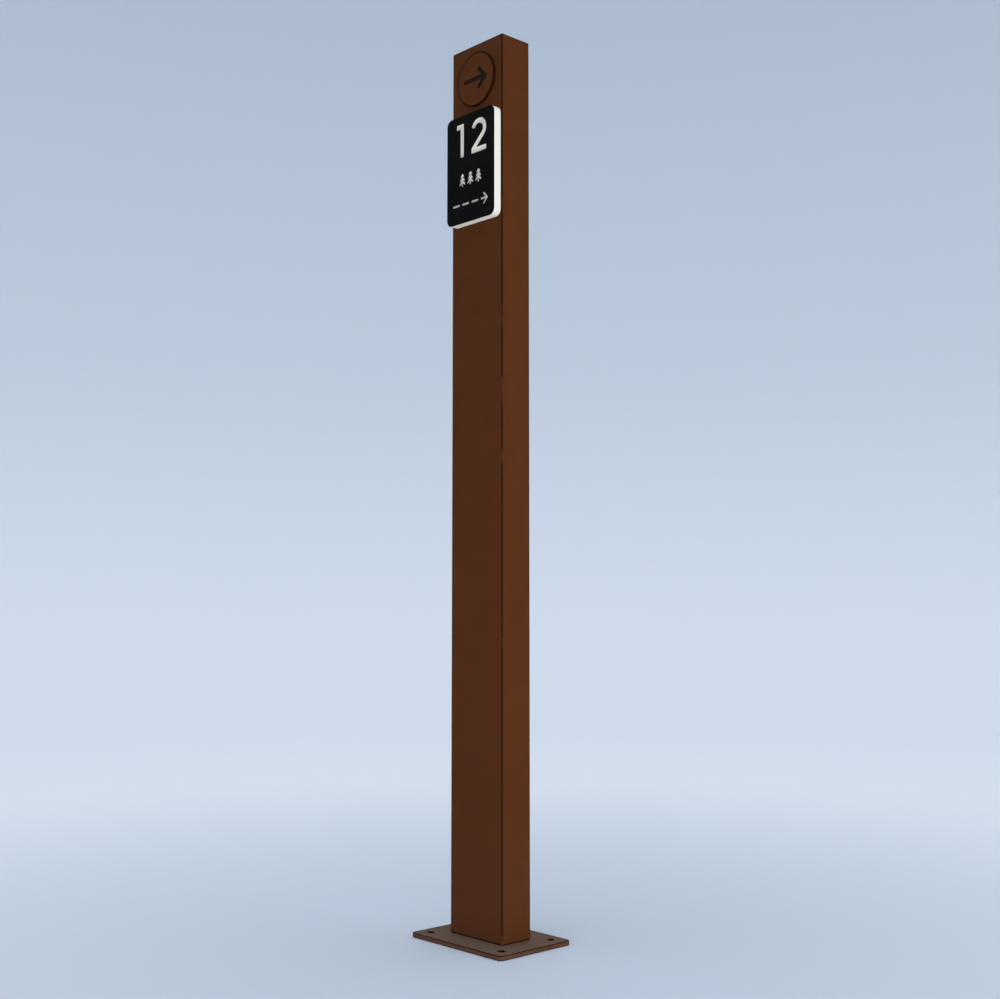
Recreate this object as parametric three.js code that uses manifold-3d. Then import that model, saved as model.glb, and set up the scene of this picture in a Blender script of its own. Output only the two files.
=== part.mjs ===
// Park interpretation sign: a bolt-down marker post of rectangular aluminium tube, with an
// engraved two-colour plastic sign and a round medallion, both fastened from behind.
// Millimetres, +Z up. The origin is the middle of the base plate's underside, and the sign
// faces -Y, so left and right are a reader's left and right.

import * as THREE from 'three';
import { mergeVertices } from 'three/addons/utils/BufferGeometryUtils.js';
import Module from 'manifold-3d';

const wasm = await Module();
wasm.setup();

// Post: square-cornered architectural tube, 4 by 2 by 1/8 in, 48 in above its plate.
const postWidth = 101.6;
const postDepth = 50.8;
const postWall = 3.175;
const postRise = 1219.2;
const postCornerRadius = 0.8;

// Base plate: 1/4 in plate with an even flange round the post and a hole in each corner.
const plateThickness = 6.35;
const plateFlange = 38.1;
const plateCornerRadius = 6.35;
const plateEdgeBreak = 0.5;
const anchorHoleRadius = 4.7625;
const anchorInset = 19.05;
const postSlotGap = 0.3;
const baseWeldHeight = 3.175;

// Cap: a plate a little smaller than the tube's end, so that its weld fills the step.
const capThickness = 3.175;
const capWeldWidth = 2;

// Medallion: 3 in disc with two tapped bosses that reach through the post's front wall.
const medallionRadius = 38.1;
const medallionThickness = 3.175;
const medallionEdgeBreak = 0.4;
const medallionDrop = 50.8;
const bossRadius = 6.35;
const bossLength = 12.7;
const bossFloor = 2;
const bossSpreadShare = 2 / 3;

// Sign: 6 in tall sheet of white plastic with a thin black skin on its front.
const signHeight = 152.4;
const signThickness = 12.7;
const signSkin = 0.8;
const signSideInset = 2.4;
const signCornerRadius = 9.525;
const signEdgeBreak = 0.4;
const signDrop = 101.6;
const signScrewInsetX = 23;
const signScrewInsetZ = 25.4;

// Fastenings: 1/4 in button-head screws with washers, crush sleeves and plastic inserts.
const screwRadius = 3.175;
const screwHeadRadius = 5.55;
const screwHeadHeight = 3.35;
const screwHeadRim = 0.8;
const screwCrownRadius = 2.7;
const screwTipChamfer = 0.6;
const screwHoleClearance = 0.4;
const screwTipClearance = 1;
const socketAcrossFlats = 3.97;
const socketDepth = 2;
const washerRadius = 7.94;
const washerThickness = 1.6;
const sleeveRadius = 6.35;
const insertRadius = 4.75;
const insertLength = 8;
const insertGrooveDepth = 0.6;
const insertGrooveWidth = 1.2;
const insertMouthChamfer = 0.5;
const runningGap = 0.3;

// One overrun serves every cut that goes right through.
const overrun = 5;

// Sides of the turned shapes. A quarter turn of an outline has twice its number of steps.
const discSides = 72;
const turnedSides = 24;
const hexSides = 6;
const sharpCornerSteps = 1;
const roundCornerSteps = 3;
const domeSteps = 4;

// Places that several pieces share.
const postTop = plateThickness + postRise;
const postFront = -postDepth / 2;
const postRear = postDepth / 2;
const postRearInside = postRear - postWall;
const postFrontInside = postFront + postWall;
const plateWidth = postWidth + 2 * plateFlange;
const plateDepth = postDepth + 2 * plateFlange;
const signWidth = postWidth - 2 * signSideInset;
const signCentreZ = postTop - signDrop - signHeight / 2;
const signCoreFront = postFront - signThickness + signSkin;
const medallionZ = postTop - medallionDrop;
const screwHoleRadius = screwRadius + screwHoleClearance;
const tappedRadius = screwRadius + runningGap;
const screwSeat = postRear + washerThickness;

const sides = [
  { name: 'left', sign: -1 },
  { name: 'right', sign: 1 },
];
const levels = [
  { name: 'upper', sign: 1 },
  { name: 'lower', sign: -1 },
];

function signScrewPlaces() {
  const spreadX = signWidth / 2 - signScrewInsetX;
  const spreadZ = signHeight / 2 - signScrewInsetZ;
  return levels.flatMap((level) =>
    sides.map((side) => ({
      name: `${level.name}_${side.name}`,
      x: side.sign * spreadX,
      z: signCentreZ + level.sign * spreadZ,
    })),
  );
}

function medallionScrewPlaces() {
  return sides.map((side) => ({
    name: side.name,
    x: side.sign * medallionRadius * bossSpreadShare,
    z: medallionZ,
  }));
}

// Materials

function powderCoat() {
  return new THREE.MeshStandardMaterial({ color: 0x4f3020, roughness: 0.55, metalness: 0 });
}

function blackSheet() {
  return new THREE.MeshStandardMaterial({ color: 0x161416, roughness: 0.6, metalness: 0 });
}

function whiteSheet() {
  return new THREE.MeshStandardMaterial({ color: 0xebe8e6, roughness: 0.55, metalness: 0 });
}

function stainlessSteel() {
  return new THREE.MeshStandardMaterial({ color: 0xb4b6b8, roughness: 0.35, metalness: 1 });
}

function millAluminium() {
  return new THREE.MeshStandardMaterial({ color: 0xc3c5c8, roughness: 0.45, metalness: 1 });
}

function brass() {
  return new THREE.MeshStandardMaterial({ color: 0xc9a45c, roughness: 0.4, metalness: 1 });
}

// Solids

function toSolid(geometry) {
  const bare = geometry.clone();
  bare.deleteAttribute('normal');
  bare.deleteAttribute('uv');
  const merged = mergeVertices(bare);
  const corners = [];
  for (let first = 0; first < merged.index.count; first += 3) {
    const [a, b, c] = [0, 1, 2].map((offset) => merged.index.getX(first + offset));
    if (a !== b && b !== c && c !== a) {
      corners.push(a, b, c);
    }
  }
  const mesh = new wasm.Mesh({
    numProp: 3,
    vertProperties: merged.attributes.position.array,
    triVerts: new Uint32Array(corners),
  });
  return new wasm.Manifold(mesh);
}

function toGeometry(solid) {
  const mesh = solid.getMesh();
  const geometry = new THREE.BufferGeometry();
  geometry.setAttribute('position', new THREE.BufferAttribute(mesh.vertProperties, mesh.numProp));
  geometry.setIndex(new THREE.BufferAttribute(mesh.triVerts, 1));
  const faceted = geometry.toNonIndexed();
  faceted.computeVertexNormals();
  return faceted;
}

function cut(geometry, cutters) {
  const solid = cutters.reduce((rest, cutter) => rest.subtract(toSolid(cutter)), toSolid(geometry));
  return toGeometry(solid);
}

// A rectangle with round corners, centred on the origin.
function roundedRectangle(width, height, radius, Outline = THREE.Shape) {
  const x = width / 2 - radius;
  const y = height / 2 - radius;
  const outline = new Outline();
  outline.absarc(x, y, radius, 0, Math.PI / 2);
  outline.absarc(-x, y, radius, Math.PI / 2, Math.PI);
  outline.absarc(-x, -y, radius, Math.PI, 1.5 * Math.PI);
  outline.absarc(x, -y, radius, 1.5 * Math.PI, 2 * Math.PI);
  outline.closePath();
  return outline;
}

// A hole drawn as four quarter turns, so that it has as many sides as a turned piece.
function roundHole(x, y, radius) {
  const hole = new THREE.Path();
  for (let quarter = 0; quarter < 4; quarter += 1) {
    const start = (quarter * Math.PI) / 2;
    hole.absarc(x, y, radius, start, start + Math.PI / 2);
  }
  return hole;
}

function plate(outline, thickness, curveSegments = sharpCornerSteps) {
  return new THREE.ExtrudeGeometry(outline, { depth: thickness, bevelEnabled: false, curveSegments });
}

// A plate whose edges are broken all round, on both faces and in its holes.
function softEdgedPlate(outline, thickness, edgeBreak) {
  const geometry = new THREE.ExtrudeGeometry(outline, {
    depth: thickness - 2 * edgeBreak,
    bevelThickness: edgeBreak,
    bevelSize: edgeBreak,
    bevelOffset: -edgeBreak,
    bevelSegments: 1,
    curveSegments: roundCornerSteps,
  });
  return geometry.translate(0, 0, edgeBreak);
}

// Turns a profile of [radius, y] points about the Y axis, the way that every fastening lies.
function turned(profile, turns = turnedSides) {
  const points = profile.map(([radius, y]) => new THREE.Vector2(radius, y));
  return new THREE.LatheGeometry(points, turns);
}

function drill(radius, x, z, from, to) {
  const bit = new THREE.CylinderGeometry(radius, radius, to - from, turnedSides);
  return bit.translate(x, (from + to) / 2, z);
}

function pipe(outerRadius, innerRadius, length) {
  return turned([
    [innerRadius, 0],
    [outerRadius, 0],
    [outerRadius, length],
    [innerRadius, length],
    [innerRadius, 0],
  ]);
}

function part(name, geometry, material, x = 0, y = 0, z = 0) {
  const mesh = new THREE.Mesh(geometry, material);
  mesh.name = name;
  mesh.position.set(x, y, z);
  return mesh;
}

// Base

function basePlate() {
  const outline = roundedRectangle(plateWidth, plateDepth, plateCornerRadius);
  for (const side of sides) {
    for (const end of levels) {
      const x = side.sign * (plateWidth / 2 - anchorInset);
      const y = end.sign * (plateDepth / 2 - anchorInset);
      outline.holes.push(roundHole(x, y, anchorHoleRadius));
    }
  }
  const blank = softEdgedPlate(outline, plateThickness, plateEdgeBreak);
  const slot = plate(postSlotOutline(), plateThickness + 2 * overrun).translate(0, 0, -overrun);
  return part('base_plate', cut(blank, [slot]), powderCoat());
}

function postSlotOutline() {
  const radius = postCornerRadius + postSlotGap;
  return roundedRectangle(postWidth + 2 * postSlotGap, postDepth + 2 * postSlotGap, radius);
}

function postBore() {
  return roundedRectangle(postWidth - 2 * postWall, postDepth - 2 * postWall, postCornerRadius, THREE.Path);
}

// The weld lies under the tube's wall inside the slot, ground level with the underside,
// and leaves the tube open for water to drain.
function baseWeld() {
  const outline = postSlotOutline();
  outline.holes.push(postBore());
  return part('base_weld', plate(outline, baseWeldHeight), powderCoat());
}

// Post

function postTube() {
  const outline = roundedRectangle(postWidth, postDepth, postCornerRadius);
  outline.holes.push(postBore());
  const length = postTop - capThickness - baseWeldHeight;
  const tube = plate(outline, length).translate(0, 0, baseWeldHeight);
  const bits = [];
  for (const { x, z } of signScrewPlaces()) {
    bits.push(drill(screwHoleRadius, x, z, postFront - overrun, postRear + overrun));
  }
  for (const { x, z } of medallionScrewPlaces()) {
    bits.push(drill(bossRadius + runningGap, x, z, postFront - overrun, postFrontInside + overrun));
    bits.push(drill(screwHoleRadius, x, z, postRearInside - overrun, postRear + overrun));
  }
  return part('post_tube', cut(tube, bits), powderCoat());
}

function capOutline(Outline) {
  const width = postWidth - 2 * capWeldWidth;
  const depth = postDepth - 2 * capWeldWidth;
  return roundedRectangle(width, depth, postCornerRadius, Outline);
}

function capPlate() {
  return part('cap_plate', plate(capOutline(), capThickness), powderCoat(), 0, 0, postTop - capThickness);
}

function capWeld() {
  const outline = roundedRectangle(postWidth, postDepth, postCornerRadius);
  outline.holes.push(capOutline(THREE.Path));
  return part('cap_weld', plate(outline, capThickness), powderCoat(), 0, 0, postTop - capThickness);
}

// Sign: both layers stand up in XZ with their backs towards the post.

function signLayer(name, thickness, back, material, cutters = []) {
  const outline = roundedRectangle(signWidth, signHeight, signCornerRadius);
  const sheet = plate(outline, thickness, roundCornerSteps).rotateX(Math.PI / 2);
  return part(name, cut(sheet, cutters), material, 0, back, signCentreZ);
}

function signCore() {
  const bits = signScrewPlaces().map(({ x, z }) =>
    drill(insertRadius + runningGap, x, z - signCentreZ, -insertLength - runningGap, overrun),
  );
  return signLayer('sign_core', signThickness - signSkin, postFront, whiteSheet(), bits);
}

// The skin's front edge is broken by a bevel that a taller blank leaves on its front alone.
function signFace() {
  const outline = roundedRectangle(signWidth, signHeight, signCornerRadius);
  const blank = softEdgedPlate(outline, 2 * signSkin, signEdgeBreak).rotateX(Math.PI / 2);
  const waste = new THREE.BoxGeometry(signWidth + overrun, 2 * signSkin, signHeight + overrun);
  const face = cut(blank, [waste]).translate(0, signSkin, 0);
  return part('sign_face', face, blackSheet(), 0, signCoreFront, signCentreZ);
}

// Medallion

function medallionDisc() {
  const disc = turned(
    [
      [0, -medallionThickness],
      [medallionRadius - medallionEdgeBreak, -medallionThickness],
      [medallionRadius, -medallionThickness + medallionEdgeBreak],
      [medallionRadius, 0],
      [0, 0],
    ],
    discSides,
  );
  return part('medallion_disc', disc, powderCoat(), 0, postFront, medallionZ);
}

function medallionBoss(place) {
  const boss = turned([
    [0, 0],
    [bossRadius, 0],
    [bossRadius, bossLength - screwTipChamfer],
    [bossRadius - screwTipChamfer, bossLength],
    [tappedRadius, bossLength],
    [tappedRadius, bossFloor],
    [0, bossFloor],
  ]);
  return part(`medallion_boss_${place.name}`, boss, millAluminium(), place.x, postFront, place.z);
}

// Fastenings, each with its seat at y = 0 and its screw pointing to -Y.

function screwGeometry(length) {
  const dome = [];
  for (let step = 0; step <= domeSteps; step += 1) {
    const angle = (step / domeSteps) * (Math.PI / 2);
    const radius = screwCrownRadius + (screwHeadRadius - screwCrownRadius) * Math.cos(angle);
    dome.push([radius, screwHeadRim + (screwHeadHeight - screwHeadRim) * Math.sin(angle)]);
  }
  const blank = turned([
    [0, -length],
    [screwRadius - screwTipChamfer, -length],
    [screwRadius, -length + screwTipChamfer],
    [screwRadius, 0],
    [screwHeadRadius, 0],
    ...dome,
    [0, screwHeadHeight],
  ]);
  const socketRadius = socketAcrossFlats / 2 / Math.cos(Math.PI / hexSides);
  const socketLength = socketDepth + overrun;
  const socket = new THREE.CylinderGeometry(socketRadius, socketRadius, socketLength, hexSides);
  return cut(blank, [socket.translate(0, screwHeadHeight - socketDepth + socketLength / 2, 0)]);
}

function fastening(prefix, place, sleeveFront, screwTip) {
  const group = new THREE.Group();
  const { name, x, z } = place;
  const screw = screwGeometry(screwSeat - screwTip);
  const washer = pipe(washerRadius, screwHoleRadius, washerThickness);
  const sleeve = pipe(sleeveRadius, screwHoleRadius, postRearInside - sleeveFront);
  group.add(part(`${prefix}_screw_${name}`, screw, stainlessSteel(), x, screwSeat, z));
  group.add(part(`${prefix}_washer_${name}`, washer, stainlessSteel(), x, postRear, z));
  group.add(part(`${prefix}_sleeve_${name}`, sleeve, millAluminium(), x, sleeveFront, z));
  return group;
}

function signInsert(place) {
  const groove = insertRadius - insertGrooveDepth;
  const grooveStart = -(insertLength - insertGrooveWidth) / 2;
  const grooveEnd = grooveStart - insertGrooveWidth;
  const insert = turned([
    [tappedRadius, -insertLength],
    [insertRadius, -insertLength],
    [insertRadius, grooveEnd],
    [groove, grooveEnd],
    [groove, grooveStart],
    [insertRadius, grooveStart],
    [insertRadius, 0],
    [tappedRadius + insertMouthChamfer, 0],
    [tappedRadius, -insertMouthChamfer],
    [tappedRadius, -insertLength],
  ]);
  return part(`sign_insert_${place.name}`, insert, brass(), place.x, postFront, place.z);
}

// The screws of the sign end just inside their inserts, and those of the medallion just
// short of the floor of their bosses.
const signScrewTip = postFront - insertLength + screwTipClearance;
const medallionScrewTip = postFront + bossFloor + screwTipClearance;

const base = new THREE.Group();
base.add(basePlate(), baseWeld());

const post = new THREE.Group();
post.add(postTube(), capPlate(), capWeld());

const sign = new THREE.Group();
sign.add(signCore(), signFace());
for (const place of signScrewPlaces()) {
  sign.add(signInsert(place), fastening('sign', place, postFrontInside, signScrewTip));
}

const medallion = new THREE.Group();
medallion.add(medallionDisc());
for (const place of medallionScrewPlaces()) {
  medallion.add(medallionBoss(place), fastening('medallion', place, postFront + bossLength, medallionScrewTip));
}

const markerPost = new THREE.Group();
markerPost.add(base, post, sign, medallion);

export default markerPost;
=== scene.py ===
"""Looks of a park interpretation sign: a powder-coated marker post on a bolt-down plate,
with an engraved two-colour sign and a round medallion. Metres, +Z up, the sign faces -Y."""

from contextlib import contextmanager
from math import acos, atan2, cos, hypot, pi, radians, sin

import bmesh
import bpy
from mathutils import Matrix, Vector


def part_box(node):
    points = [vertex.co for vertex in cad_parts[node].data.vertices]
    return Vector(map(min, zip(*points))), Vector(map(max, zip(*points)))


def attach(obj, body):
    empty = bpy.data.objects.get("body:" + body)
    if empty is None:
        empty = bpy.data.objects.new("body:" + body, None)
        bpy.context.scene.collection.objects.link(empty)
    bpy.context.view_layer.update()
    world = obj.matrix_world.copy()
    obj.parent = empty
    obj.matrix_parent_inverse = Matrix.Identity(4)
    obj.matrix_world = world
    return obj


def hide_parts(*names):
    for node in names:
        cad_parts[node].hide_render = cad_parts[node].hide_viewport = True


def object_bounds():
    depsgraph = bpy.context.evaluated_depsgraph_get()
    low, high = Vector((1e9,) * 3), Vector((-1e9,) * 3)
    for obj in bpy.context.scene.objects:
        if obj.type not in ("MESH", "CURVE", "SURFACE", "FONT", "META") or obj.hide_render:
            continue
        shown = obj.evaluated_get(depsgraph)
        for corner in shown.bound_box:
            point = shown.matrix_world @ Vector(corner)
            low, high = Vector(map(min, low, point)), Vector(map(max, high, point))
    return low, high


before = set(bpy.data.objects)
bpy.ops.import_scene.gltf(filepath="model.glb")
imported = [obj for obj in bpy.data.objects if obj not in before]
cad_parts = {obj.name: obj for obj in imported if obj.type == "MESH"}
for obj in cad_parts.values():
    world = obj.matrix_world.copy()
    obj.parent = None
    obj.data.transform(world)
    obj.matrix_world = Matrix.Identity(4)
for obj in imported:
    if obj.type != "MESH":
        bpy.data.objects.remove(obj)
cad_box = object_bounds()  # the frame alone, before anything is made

bl_info = {
    "name": "Park Interpretation Sign",
    "version": (1, 0, 0),
    "blender": (4, 5, 0),
    "location": "View3D > Sidebar > Park Sign",
    "description": "Dresses a trail marker post with its coat, engraved sign, medallion and fastenings",
    "category": "Add Mesh",
}

Y, Z = 1, 2  # axes by number
NEAR = 0.00002  # how close a corner lies to a plane that it is picked by
SLIVER = 0.000005  # what is thinner than this is a leftover of cutting
SQUARE = 0.999  # cosine above which an edge or a face counts as square to an axis
CURVE = radians(32)  # faces that meet at less than this are smoothed into one curve
OVERRUN = 0.004  # how far a cutter reaches past the face that it cuts
ROUND_END_SHARE = 0.49  # corner radius of a stroke with round ends, as a share of its width
FACE_FINISH, EDGE_AND_SHADE_FINISH = 0, 1  # a piece's finishes by number, in the order that coat gives
FILM_WIDTH = 36  # millimetres across the camera's frame


def linear(hex_colour):
    """An sRGB hex colour as linear red, green, blue and full alpha."""
    channels = [int(hex_colour[i : i + 2], 16) / 255 for i in (1, 3, 5)]
    return (*[c / 12.92 if c <= 0.04045 else ((c + 0.055) / 1.055) ** 2.4 for c in channels], 1.0)


def length(name, description, default):
    """A size in metres that a user may change."""
    return bpy.props.FloatProperty(
        name=name, description=description, default=default, min=0, unit="LENGTH", precision=5
    )


def position(name, description, default):
    """A place in metres that a user may change."""
    return bpy.props.FloatVectorProperty(
        name=name, description=description, default=default, subtype="TRANSLATION", unit="LENGTH"
    )


def watts(name, description, default):
    """A lamp's power that a user may change."""
    return bpy.props.FloatProperty(
        name=name, description=description, default=default, min=0, unit="POWER"
    )


def colour(name, description, default):
    """A colour that a user may change, given as sRGB hex."""
    return bpy.props.FloatVectorProperty(
        name=name,
        description=description,
        default=linear(default),
        size=4,
        min=0,
        max=1,
        subtype="COLOR",
    )


class ParkSignSizes(bpy.types.PropertyGroup):
    """Sizes that the frame doesn't give."""

    splash: length("Splash", "How high rain splashes dust up the post", 0.16)
    # Painted shade at the post's foot, where post and plate meet.
    foot_shade: length("Foot line", "Height of the dark line where post and plate meet", 0.0012)
    tube_corner: length("Tube corner", "Outside corner radius of the extruded tube", 0.0008)
    tube_wall: length("Tube wall", "Wall of the tube", 0.003175)
    edge_band: length("Edge band", "Darker coat on both sides of the post's edges", 0.0015)
    cap_edge: length("Cap edge", "Round ground on the top edge of the post", 0.001)
    plate_corner: length("Plate corner", "Corner radius of the base plate", 0.00635)
    plate_edge: length("Plate edge", "Round on the base plate's edges", 0.001)
    anchor_inset: length("Anchor inset", "From the plate's edges to a hole's centre", 0.01905)
    anchor_hole: length("Anchor hole", "Radius of an anchor hole", 0.0047625)
    anchor_edge: length("Anchor edge", "Round on an anchor hole's mouths", 0.0008)
    sign_corner: length("Sign corner", "Corner radius of the sign", 0.009525)
    sign_edge: length("Sign edge", "Broken edge round the sign's front", 0.0004)
    engraving_depth: length("Engraving depth", "How deep the router cuts from the sign's front", 0.0032)
    router_radius: length("Router radius", "Radius that the router bit leaves in a corner", 0.0012)
    number_height: length("Number height", "Height of the two digits", 0.0475)
    number_stroke: length("Number stroke", "Width of a digit's stroke", 0.0074)
    number_rise: length("Number rise", "Digits' middle above the sign's middle", 0.0412)
    number_shift: length("Number shift", "Digits' middle right of the sign's middle", 0.0021)
    one_width: length("One width", "Width of the digit 1", 0.015)
    two_width: length("Two width", "Width of the digit 2", 0.0305)
    digit_gap: length("Digit gap", "Space between the two digits", 0.0155)
    symbol_stroke: length("Symbol stroke", "Width of a symbol's stroke", 0.003)
    tree_height: length("Tree height", "Height of an engraved conifer", 0.019)
    tree_width: length("Tree width", "Width of its lowest boughs", 0.0125)
    tree_pitch: length("Tree pitch", "From one conifer to the next", 0.0165)
    tree_drop: length("Tree drop", "Conifers' middle below the sign's middle", 0.0155)
    path_width: length("Path width", "Length of the dashed path and its arrowhead", 0.072)
    path_head: length("Path head", "Height of its arrowhead", 0.0165)
    path_drop: length("Path drop", "Path's middle below the sign's middle", 0.0500)
    disc_rim: length("Disc rim", "Darker coat on both sides of the medallion's edge", 0.0022)
    disc_edge: length("Disc edge", "Round on the medallion's front edge", 0.0006)
    # Its dark finish is a painted shadow line between the medallion and the post.
    disc_back_edge: length("Disc back edge", "Round on the medallion's back edge", 0.0003)
    disc_depth: length("Disc depth", "Depth of the medallion's engraving", 0.0009)
    disc_stroke: length("Disc stroke", "Width of its arrow's strokes", 0.0062)
    disc_arrow: length("Disc arrow", "Length of its arrow", 0.047)
    disc_barb: length("Disc barb", "How far a barb reaches back and to the side", 0.0127)
    thread_pitch: length("Thread pitch", "From one turn of a screw's thread to the next", 0.00127)
    thread_depth: length("Thread depth", "Depth of a screw's thread", 0.00055)
    socket_flats: length("Socket flats", "Across the flats of a screw's hex socket", 0.00397)
    socket_depth: length("Socket depth", "Depth of a screw's hex socket", 0.002)
    screw_rim: length("Screw rim", "Straight rim under a screw's dome", 0.0008)
    screw_shank: length("Screw shank", "Radius of a screw's shank", 0.003175)
    washer_hole: length("Washer hole", "Radius of a washer's hole", 0.003575)
    washer_edge: length("Washer edge", "Round on a washer's edges", 0.0002)


class ParkSignColours(bpy.types.PropertyGroup):
    """Colours of the finishes."""

    coat: colour("Coat", "Brown powder coat", "#502b12")
    coat_dark: colour("Coat shade", "Its darker mottle", "#4d2810")
    # Also painted shade: in the anchor holes, behind the medallion and at the post's foot.
    coat_edge_and_shade: colour("Coat edge", "Thicker, darker coat along the edges", "#1c0d04")
    coat_rubbed: colour("Coat rubbed", "Coat rubbed lighter on the edges", "#5f3a22")
    # Also greys the plate's top, partly as dust and partly as a painted sheen.
    dust: colour("Dust", "Grey ground dust", "#7f7e76")
    black_skin: colour("Black skin", "Front of the sign", "#050505")
    white_core: colour("White core", "Body of the sign", "#e0dacf")
    paint_fill: colour("Paint fill", "Dark paint in the medallion's engraving", "#180d06")
    stainless: colour("Stainless steel", "Screws and washers", "#b9babb")
    aluminium: colour("Mill aluminium", "Sleeves and bosses", "#c6c8ca")
    brass: colour("Brass", "Threaded inserts", "#c7a35a")
    paper: colour("Paper", "Studio paper behind the post", "#ebf2fb")
    # A painted shadow round the post's foot.
    paper_near: colour("Paper near", "The same, scuffed darker round the post", "#ccd8e7")
    paper_high: colour("Paper high", "The same, darker at the top of the wall", "#c2cedb")


# Meshes


def add(name, primitive, **settings):
    """Adds a primitive at its size and place, with nothing else selected."""
    bpy.ops.object.select_all(action="DESELECT")
    primitive(**settings)
    piece = bpy.context.object
    piece.name = piece.data.name = name
    settle(piece)
    return piece


def take(piece):
    """Selects a piece alone, for the operators that follow."""
    bpy.ops.object.select_all(action="DESELECT")
    piece.select_set(True)
    bpy.context.view_layer.objects.active = piece


def settle(piece):
    """Moves a piece's place, turn and scale into its mesh."""
    take(piece)
    bpy.ops.object.transform_apply(location=True, rotation=True, scale=True)


def block(name, low, high):
    """A box from its lowest to its highest corner."""
    low, high = Vector(low), Vector(high)
    return add(
        name, bpy.ops.mesh.primitive_cube_add, size=1, location=(low + high) / 2, scale=high - low
    )


def rod(name, start, end, radius, sides=48):
    """A cylinder from one point to another along Y or Z."""
    start, end = Vector(start), Vector(end)
    return add(
        name,
        bpy.ops.mesh.primitive_cylinder_add,
        vertices=sides,
        radius=radius,
        depth=(end - start).length,
        location=(start + end) / 2,
        rotation=(end - start).to_track_quat("Z", "Y").to_euler(),
    )


@contextmanager
def picked(piece, kind, test):
    """Edit mode on a piece, with only the verts, edges or faces that pass the test selected."""
    take(piece)
    bpy.ops.object.mode_set(mode="EDIT")
    bpy.context.tool_settings.mesh_select_mode = [kind == k for k in ("verts", "edges", "faces")]
    bpy.ops.mesh.select_all(action="DESELECT")
    shape = bmesh.from_edit_mesh(piece.data)
    for element in getattr(shape, kind):
        if test(element):
            element.select_set(True)
    bmesh.update_edit_mesh(piece.data)
    yield
    bpy.ops.object.mode_set(mode="OBJECT")


def runs_along(axis):
    """True for an edge parallel to an axis."""
    return lambda edge: abs((edge.verts[1].co - edge.verts[0].co).normalized()[axis]) > SQUARE


def lies_on(axis, value):
    """True for an edge or a face with every corner on a plane square to an axis."""
    return lambda element: all(abs(vert.co[axis] - value) < NEAR for vert in element.verts)


def rim_of(axis, value):
    """True for an edge on such a plane that a face off the plane also uses."""
    on_plane = lies_on(axis, value)
    return lambda edge: on_plane(edge) and not all(on_plane(face) for face in edge.link_faces)


def beside(axis, point, reach):
    """True for an edge with both ends within reach of a line along an axis through a point."""

    def gap(vert):
        away = vert.co - point
        away[axis] = 0
        return away.length

    return lambda edge: all(gap(vert) < reach for vert in edge.verts)


def outermost(high):
    """True for an edge with both ends at a corner of a box round the post's axis, seen from
    above. The box is given by its highest corner."""
    return lambda edge: all(
        abs(vert.co.x) > high.x - NEAR and abs(vert.co.y) > high.y - NEAR for vert in edge.verts
    )


def all_of(*tests):
    """True for what passes every one of the tests."""
    return lambda element: all(test(element) for test in tests)


def soften(piece, test, offset, segments=3, finish=FACE_FINISH):
    """Rounds the edges that pass the test, in one of the piece's finishes."""
    with picked(piece, "edges", test):
        bpy.ops.mesh.bevel(offset=offset, segments=segments, affect="EDGES", material=finish)


def band(piece, test, width):
    """Lays a band of the edge finish on both sides of the edges that pass the test."""
    with picked(piece, "edges", test):
        bpy.ops.mesh.bevel(
            offset=width, segments=2, profile=1, affect="EDGES", material=EDGE_AND_SHADE_FINISH
        )


def carve(cutter, *pieces):
    """Cuts a closed cutter out of each piece, and throws it away. The cut takes the cutter's
    finish, or the piece's first one where the cutter has none."""
    for piece in pieces:
        take(piece)
        cut = piece.modifiers.new("Cut", "BOOLEAN")
        cut.object = cutter
        cut.operation = "DIFFERENCE"
        cut.solver = "MANIFOLD"
        cut.material_mode = "TRANSFER"
        bpy.ops.object.modifier_apply(modifier=cut.name)
    bpy.data.objects.remove(cutter)


def copy_to(piece, name, place):
    """A copy with its own mesh, moved to its place in that mesh."""
    twin = piece.copy()
    twin.data = piece.data.copy()
    twin.name = twin.data.name = name
    twin.data.transform(Matrix.Translation(place))
    bpy.context.scene.collection.objects.link(twin)
    return twin


def coat(piece, *finishes):
    """Gives a new piece, a cutter or a frame node its finishes, by name."""
    piece.data.materials.clear()
    for name in finishes:
        piece.data.materials.append(bpy.data.materials[name])


def hand_over(piece, slot, *nodes):
    """Clears a piece of slivers, smooths it round its curves but not across its flats, and
    hands it to the frame."""
    with picked(piece, "verts", lambda vert: True):
        bpy.ops.mesh.remove_doubles(threshold=SLIVER)
        bpy.ops.mesh.dissolve_degenerate(threshold=SLIVER)
    bpy.ops.object.shade_smooth_by_angle(angle=CURVE)
    flats = piece.modifiers.new("Flats", "WEIGHTED_NORMAL")
    flats.keep_sharp = True
    bpy.ops.object.modifier_apply(modifier=flats.name)
    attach(piece, "root")
    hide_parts(*nodes)


def middle_of(node):
    """The middle of a node of the frame."""
    low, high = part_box(node)
    return (low + high) / 2


def radius_of(node):
    """The radius of a node of the frame that is round about Y."""
    low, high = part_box(node)
    return (high.x - low.x) / 2


def screw_nodes(prefix=""):
    """The frame's screws, in name order."""
    return sorted(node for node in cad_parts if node.startswith(prefix) and "_screw_" in node)


# Engraving strokes, drawn in the sign's plane with x to the right and z up. A cut is the y of
# the face, the y of the engraving's floor and the radius that the router leaves in a corner.


def bar_cutter(start, end, width, cut):
    """A straight stroke between two points, half its width longer at both ends."""
    face, floor, corner = cut
    rise, run = end[1] - start[1], end[0] - start[0]
    half = Vector(((hypot(run, rise) + width) / 2, (floor - face + OVERRUN) / 2, width / 2))
    stroke = block("stroke", -half, half)
    soften(stroke, runs_along(Y), corner, segments=4)
    stroke.rotation_euler = (0, -atan2(rise, run), 0)
    stroke.location = ((start[0] + end[0]) / 2, (face - OVERRUN + floor) / 2, (start[1] + end[1]) / 2)
    settle(stroke)
    return stroke


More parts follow.
